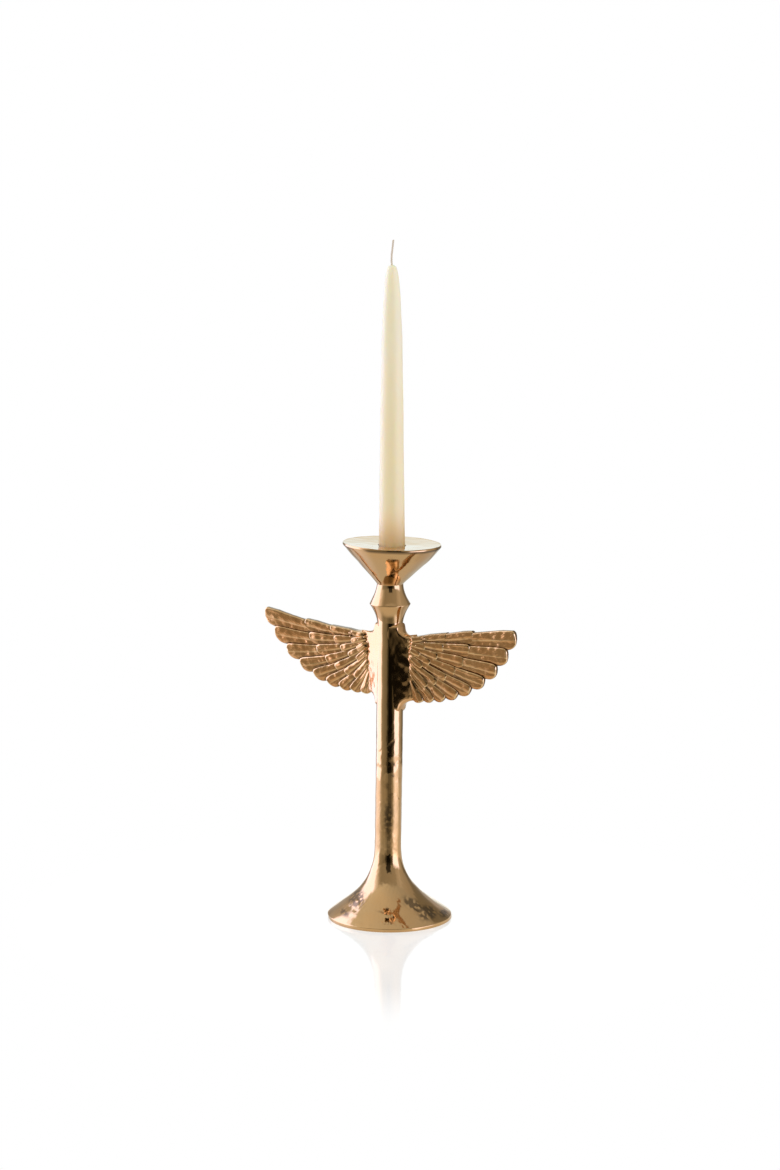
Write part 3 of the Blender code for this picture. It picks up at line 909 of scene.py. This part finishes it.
class Nodes:
    """Short calls for building a material's nodes."""

    def __init__(self, tree):
        self.tree = tree

    def add(self, kind, inputs=None, **settings):
        node = self.tree.nodes.new(kind)
        for key, value in settings.items():
            setattr(node, key, value)
        for key, value in (inputs or {}).items():
            if isinstance(value, bpy.types.NodeSocket):
                self.tree.links.new(value, node.inputs[key])
            else:
                node.inputs[key].default_value = value
        return node

    def dot(self, first, second):
        node = self.add("ShaderNodeVectorMath", {0: first, 1: second}, operation="DOT_PRODUCT")
        return node.outputs["Value"]

    def math(self, operation, first, second=0.0, third=0.0):
        return self.add("ShaderNodeMath", {0: first, 1: second, 2: third}, operation=operation).outputs[0]

    def scaled(self, colour, factor):
        return self.add("ShaderNodeVectorMath", {0: colour, "Scale": factor}, operation="SCALE").outputs[0]

    def noise(self, where, size, detail=2.0, roughness=0.5, stretch=None):
        """Noise with features of about size metres."""
        vector = where
        if stretch:
            vector = self.add("ShaderNodeMapping", {"Vector": where, "Scale": stretch}).outputs[0]
        inputs = {"Vector": vector, "Scale": 1 / size, "Detail": detail, "Roughness": roughness}
        return self.add("ShaderNodeTexNoise", inputs).outputs["Fac"]

    def between(self, value, low, high, to_low=0.0, to_high=1.0):
        inputs = {"Value": value, "From Min": low, "From Max": high, "To Min": to_low, "To Max": to_high}
        return self.add("ShaderNodeMapRange", inputs, interpolation_type="SMOOTHSTEP").outputs[0]

    def blend(self, share, first, second):
        node = self.add("ShaderNodeMix", {"Factor": share}, data_type="RGBA")
        for socket, value in ((node.inputs[6], first), (node.inputs[7], second)):
            if isinstance(value, bpy.types.NodeSocket):
                self.tree.links.new(value, socket)
            else:
                socket.default_value = (*value, 1.0)
        return node.outputs[2]


def new_material(name):
    made = bpy.data.materials.new(name)
    made.use_nodes = True
    nodes = Nodes(made.node_tree)
    shader = made.node_tree.nodes["Principled BSDF"]
    where = nodes.add("ShaderNodeTexCoord").outputs["Object"]
    return made, nodes, shader, where


def connect(nodes, shader, **sockets):
    for key, value in sockets.items():
        nodes.tree.links.new(value, shader.inputs[key.replace("_", " ")])


def brass(name, feathered):
    """Polished cast brass: mottled tone, uneven polish and the fine scratches of finishing, darkened by
    dark patches and painted shade, and on the feathers lightened by wear and a painted highlight.
    """
    made, nodes, shader, where = new_material(name)
    tone = nodes.noise(where, 22 * MM, 3)
    warm = nodes.between(tone, 0.35, 0.68)
    colour = nodes.blend(warm, *(FEATHER_TONES if feathered else BODY_TONES))
    stain = nodes.between(nodes.noise(where, 6 * MM, 4, 0.6), 0.60, 0.78, 0, 0.30)
    colour = nodes.blend(stain, colour, STAIN_TONE)
    shader.inputs["Metallic"].default_value = 1.0
    shader.inputs["Coat Weight"].default_value = 0.20
    shader.inputs["Coat Roughness"].default_value = 0.03
    polish = nodes.between(nodes.noise(where, 9 * MM, 4, 0.6), 0.3, 0.75, 0.04, 0.13)
    # Dark patches and painted shade, read from the meshes, pull the colour toward deep brown and roughen it
    dark_patches_and_painted_shade = nodes.add("ShaderNodeAttribute", attribute_name="dark_patches_and_painted_shade").outputs["Fac"]
    colour = nodes.blend(nodes.math("MULTIPLY", dark_patches_and_painted_shade, 0.85), colour, DARK_PATCH_AND_SHADE_TONE)
    polish = nodes.math("MULTIPLY_ADD", dark_patches_and_painted_shade, 0.15, polish)
    if feathered:
        # On the feathers, ridges, lumps and the web get the lighter rubbed colour and less roughness: wear,
        # and a painted highlight
        wear_and_highlight = nodes.add("ShaderNodeAttribute", attribute_name="wear_and_highlight").outputs["Fac"]
        polish = nodes.math("SUBTRACT", nodes.math("ADD", polish, 0.06), nodes.math("MULTIPLY", wear_and_highlight, 0.06))
        outside_shade_and_patches = nodes.math("SUBTRACT", 1.0, dark_patches_and_painted_shade)
        rubbed_and_highlight = nodes.math("MULTIPLY", nodes.math("MULTIPLY", wear_and_highlight, 0.9), outside_shade_and_patches)
        colour = nodes.blend(rubbed_and_highlight, colour, RUBBED_AND_HIGHLIGHT_TONE)
    grain = nodes.noise(where, 1.6 * MM, 3, 0.6)
    scratch = nodes.noise(where, 1.1 * MM, 2, 0.5, (1.0, 1.0, 0.12))
    relief = nodes.math("ADD", grain, nodes.math("MULTIPLY", scratch, 0.4))
    bump = nodes.add("ShaderNodeBump", {"Height": relief, "Strength": 0.10, "Distance": 0.15 * MM})
    connect(nodes, shader, Base_Color=colour, Roughness=polish, Normal=bump.outputs[0])
    return made


def wax():
    """Ivory wax, palest in the upper half, with a painted reflection of the brass pan in a deeper tone near
    the cup.
    """
    made, nodes, shader, where = new_material("ivory_wax")
    pan_reflection, middle, top = WAX_AND_PAN_REFLECTION_TONES
    height = nodes.add("ShaderNodeSeparateXYZ", {0: where}).outputs[2]
    low = nodes.between(height, PAN_HEIGHT + 4 * MM, PAN_HEIGHT + 34 * MM)
    upper = nodes.between(height, PAN_HEIGHT + 60 * MM, PAN_HEIGHT + 190 * MM)
    body = nodes.blend(upper, middle, top)
    clouds = nodes.noise(where, 30 * MM, 2, 0.5, (1, 1, 0.4))
    body = nodes.blend(clouds, nodes.scaled(body, 0.975), body)
    # Near the cup the colour gives way to the painted reflection of the brass pan
    colour = nodes.blend(low, pan_reflection, body)
    polish = nodes.between(nodes.noise(where, 8 * MM, 3), 0.3, 0.7, 0.36, 0.50)
    relief = nodes.noise(where, 3 * MM, 3, 0.5, (1, 1, 0.35))
    bump = nodes.add("ShaderNodeBump", {"Height": relief, "Strength": 0.12, "Distance": 0.2 * MM})
    shader.inputs["Subsurface Weight"].default_value = 0.8
    shader.inputs["Subsurface Radius"].default_value = (1.0, 0.80, 0.50)
    shader.inputs["Subsurface Scale"].default_value = 8 * MM
    connect(nodes, shader, Base_Color=colour, Roughness=polish, Normal=bump.outputs[0])
    return made


def cotton():
    made, nodes, shader, where = new_material("waxed_cotton")
    fibre = nodes.noise(where, 0.5 * MM, 4, 0.6, (1, 1, 0.3))
    colour = nodes.blend(fibre, *COTTON_TONES)
    bump = nodes.add("ShaderNodeBump", {"Height": fibre, "Strength": 0.5, "Distance": 0.1 * MM})
    shader.inputs["Roughness"].default_value = 0.75
    connect(nodes, shader, Base_Color=colour, Normal=bump.outputs[0])
    return made


# Studio


WHITE = (1.0, 1.0, 1.0)

# The room's brightness at the horizon and at half height, and the table's away from the holder,
# worked out from what the photographed metal mirrors: degrees to the right of the photograph's
# camera, and level
SOFT_BOX = 1.9
HORIZON = (
    (-180, 0.98), (-174, 0.90), (-166, 0.46), (-152, 0.32),
    (-145, 0.40), (-137, SOFT_BOX), (-84, SOFT_BOX), (-75, 1.00),
    (-68, 0.40), (-59, 0.33), (-42, 0.26), (-26, 0.20),
    (-19, 0.06), (-12, 0.04), (26, 0.06), (38, 0.18),
    (47, SOFT_BOX), (80, SOFT_BOX), (92, 0.60), (106, 0.44),
    (120, 0.32), (130, 0.18), (152, 0.20), (162, 0.45),
    (172, 0.85), (180, 0.98),
)
HALF_HEIGHT = (
    (-180, 0.95), (-170, 0.50), (-155, 0.44), (-141, 0.60),
    (-133, SOFT_BOX), (-86, SOFT_BOX), (-76, 1.10), (-66, 0.80),
    (-55, 0.45), (-42, 0.32), (10, 0.34), (48, 0.37),
    (62, 0.50), (78, 0.56), (90, 0.46), (122, 0.38),
    (134, 0.22), (152, 0.22), (165, 0.60), (180, 0.95),
)
TABLE_AROUND = (
    (-180, 0.52), (-160, 0.58), (-140, 0.66), (-120, 0.80),
    (-105, 0.80), (-92, 0.70), (-80, 0.44), (-68, 0.27),
    (-58, 0.25), (-47, 0.26), (-34, 0.28), (-22, 0.21),
    (-5, 0.14), (16, 0.15), (32, 0.30), (43, 0.90),
    (55, 1.25), (75, 1.10), (88, 0.90), (99, 0.60),
    (112, 0.42), (126, 0.52), (180, 0.52),
)
TABLE_LEVEL = 0.61

# The ceiling's level, how much of it is lost toward the photograph's right, and the elevations in
# degrees over which the half-height ring and the ceiling take over
OVERHEAD_LEVEL = 0.62
OVERHEAD_FALL = 0.26
HALF_HEIGHT_FROM = (7, 14)
OVERHEAD_FROM = (43, 53)

# The dark gap where the camera stands: middle, half width and top in degrees, and its level
CAMERA_STAND = (5, 16, 24)
CAMERA_STAND_LEVEL = 0.12

# Tints of the dim and the bright parts of the rings, and of the backdrop beyond a bearing
FILL_TINT = (1.04, 0.98, 0.74)
SOFT_BOX_TINT = (1.00, 1.05, 1.70)
BACKDROP_TINT = (1.00, 1.14, 1.18)
BACKDROP_FROM = 168

# Even light that takes the place of a share of the rings on diffuse surfaces
PLAIN_LIGHT = (1.13, 1.05, 0.96)
PLAIN_SHARE = 0.60


def bearing_share(nodes, way):
    """Where a direction lies around the holder: 0 and 1 behind it, 0.5 toward the camera."""
    aside = nodes.dot(way, CAMERA_RIGHT)
    turn = nodes.math("ARCTAN2", aside, nodes.dot(way, TO_CAMERA))
    return nodes.math("MULTIPLY_ADD", turn, 1 / (2 * math.pi), 0.5), aside


def climbed(nodes, up, low, high):
    """Share by which a direction has climbed from one elevation to another, in degrees."""
    return nodes.between(up, math.sin(math.radians(low)), math.sin(math.radians(high)))


def light_ring(nodes, share, levels):
    """Light around the holder from (degrees, level) stops: warm where dim, cool at the soft boxes."""
    ramp = nodes.add("ShaderNodeValToRGB", {"Fac": share})
    ramp.color_ramp.interpolation = "EASE"
    stops = ramp.color_ramp.elements
    while len(stops) > 1:
        stops.remove(stops[0])
    for number, (degrees, level) in enumerate(levels):
        place = degrees / 360 + 0.5
        stop = stops.new(place) if number else stops[0]
        stop.position = place
        cool = level / SOFT_BOX
        tint = [mix(warm, box, cool) for warm, box in zip(FILL_TINT, SOFT_BOX_TINT)]
        if abs(degrees) > BACKDROP_FROM:
            tint = BACKDROP_TINT
        stop.color = (*(0.5 * cool * part for part in tint), 1)
    return nodes.scaled(ramp.outputs["Color"], 2 * SOFT_BOX)


def studio():
    """Light from the world: two soft boxes, a dark gap where the camera stands, grey above."""
    world = bpy.data.worlds.new("studio")
    bpy.context.scene.world = world
    world.use_nodes = True
    nodes = Nodes(world.node_tree)
    shader = world.node_tree.nodes["Background"]
    way = nodes.add("ShaderNodeTexCoord").outputs["Generated"]
    share, aside = bearing_share(nodes, way)
    up = nodes.add("ShaderNodeSeparateXYZ", {0: way}).outputs[2]
    at_horizon, at_half_height = light_ring(nodes, share, HORIZON), light_ring(nodes, share, HALF_HEIGHT)
    sides = nodes.blend(climbed(nodes, up, *HALF_HEIGHT_FROM), at_horizon, at_half_height)
    middle, half_width, top = CAMERA_STAND
    off_middle = nodes.math("ABSOLUTE", nodes.math("SUBTRACT", share, 0.5 + middle / 360))
    clear = nodes.between(off_middle, (half_width - 3) / 360, (half_width + 3) / 360)
    lit = nodes.math("MAXIMUM", clear, climbed(nodes, up, top - 2, top + 2))
    sides = nodes.scaled(sides, nodes.math("MAXIMUM", CAMERA_STAND_LEVEL, lit))
    sky = nodes.scaled(WHITE, nodes.math("MULTIPLY_ADD", aside, -OVERHEAD_FALL, OVERHEAD_LEVEL))
    room = nodes.blend(climbed(nodes, up, *OVERHEAD_FROM), sides, sky)
    path = nodes.add("ShaderNodeLightPath")
    plain = nodes.math("MULTIPLY", path.outputs["Is Diffuse Ray"], PLAIN_SHARE)
    room = nodes.blend(plain, room, PLAIN_LIGHT)
    seen = nodes.blend(path.outputs["Is Camera Ray"], room, WHITE)
    nodes.tree.links.new(seen, shader.inputs["Color"])


# White table top, how much of what the camera sees of it is its own glow, and the distances from
# the axis over which its level and its shade give way
TABLE_RADIUS = 0.55
TABLE_COLUMNS = 128
TABLE_SUNK = 0.05 * MM
TABLE_TINT = (1.0, 1.0, 0.92)
TABLE_NEAR_TINT = (1.03, 0.99, 0.94)
TABLE_NEAR = (0.15, 0.29)
TABLE_FADE = (0.19, 0.31)
TABLE_SHADE_SHARE = 0.35
TABLE_GLOW = 0.57
TABLE_GLOSS = 0.5


def table():
    """A glossy white table top whose rim is lost against the backdrop."""
    turn = 2 * math.pi * np.arange(TABLE_COLUMNS) / TABLE_COLUMNS
    rim = np.stack([np.cos(turn), np.sin(turn)], axis=1) * TABLE_RADIUS
    points = np.column_stack([rim, np.full(TABLE_COLUMNS, -TABLE_SUNK)])
    made, nodes, shader, where = new_material("white_table")
    span = nodes.add("ShaderNodeVectorMath", {0: where}, operation="LENGTH").outputs["Value"]
    share, _ = bearing_share(nodes, where)
    around = light_ring(nodes, share, TABLE_AROUND)
    near = nodes.scaled(TABLE_NEAR_TINT, TABLE_LEVEL)
    mirrored = nodes.blend(nodes.between(span, *TABLE_NEAR), near, around)
    faded = nodes.between(span, *TABLE_FADE)
    glow = nodes.math("MULTIPLY_ADD", faded, 1.0 - TABLE_GLOW, TABLE_GLOW)
    shade = nodes.math("MULTIPLY_ADD", faded, -TABLE_SHADE_SHARE, TABLE_SHADE_SHARE)
    seen = nodes.add("ShaderNodeLightPath").outputs["Is Camera Ray"]
    base = nodes.scaled(TABLE_TINT, nodes.math("MULTIPLY", seen, shade))
    emitted = nodes.blend(seen, mirrored, nodes.scaled(WHITE, glow))
    shown = nodes.math("SUBTRACT", 1.0, nodes.math("MULTIPLY", seen, faded))
    gloss = nodes.math("MULTIPLY", TABLE_GLOSS, shown)
    shader.inputs["Roughness"].default_value = 0.08
    shader.inputs["Emission Strength"].default_value = 1.0
    connect(nodes, shader, Base_Color=base, Emission_Color=emitted, Specular_IOR_Level=gloss)
    new_mesh("table_top", points, [tuple(range(TABLE_COLUMNS))], [made])


def camera():
    """Stands where the photograph's did, looking a little down."""
    lens = bpy.data.cameras.new("camera")
    lens.sensor_width = SENSOR
    lens.lens = FOCAL_PIXELS / PHOTO_HEIGHT * SENSOR
    lens.clip_end = 50
    made = bpy.data.objects.new("camera", lens)
    bpy.context.scene.collection.objects.link(made)
    place = Vector(TO_CAMERA) * CAMERA_DISTANCE + Vector((0, 0, CAMERA_HEIGHT))
    turn = Matrix.Rotation(CAMERA_BEARING, 4, "Z") @ Matrix.Rotation(math.pi / 2 - CAMERA_DROP, 4, "X")
    made.matrix_world = Matrix.Translation(place) @ turn
    bpy.context.scene.camera = made


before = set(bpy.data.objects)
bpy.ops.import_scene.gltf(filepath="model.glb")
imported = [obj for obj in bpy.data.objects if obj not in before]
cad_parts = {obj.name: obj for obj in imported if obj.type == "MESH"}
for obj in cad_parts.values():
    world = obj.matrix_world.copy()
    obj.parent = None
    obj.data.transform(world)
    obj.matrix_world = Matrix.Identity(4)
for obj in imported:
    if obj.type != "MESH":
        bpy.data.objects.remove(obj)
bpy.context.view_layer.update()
bpy.context.scene.view_settings.view_transform = "Standard"
camera()
studio()
table()

smooth_brass = brass("polished_brass", False)
feather_brass = brass("feather_brass", True)
pieces = (
    (turned_body(smooth_brass), "brass", "candle_holder"),
    (wing(1, feather_brass), "brass", "candle_holder"),
    (wing(-1, feather_brass), "brass", "candle_holder"),
    (candle(wax()), "wax", "candle"),
    (wick(cotton()), "cotton", "wick"),
)
for piece, slot, node in pieces:
    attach(piece, "root")
    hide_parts(node)
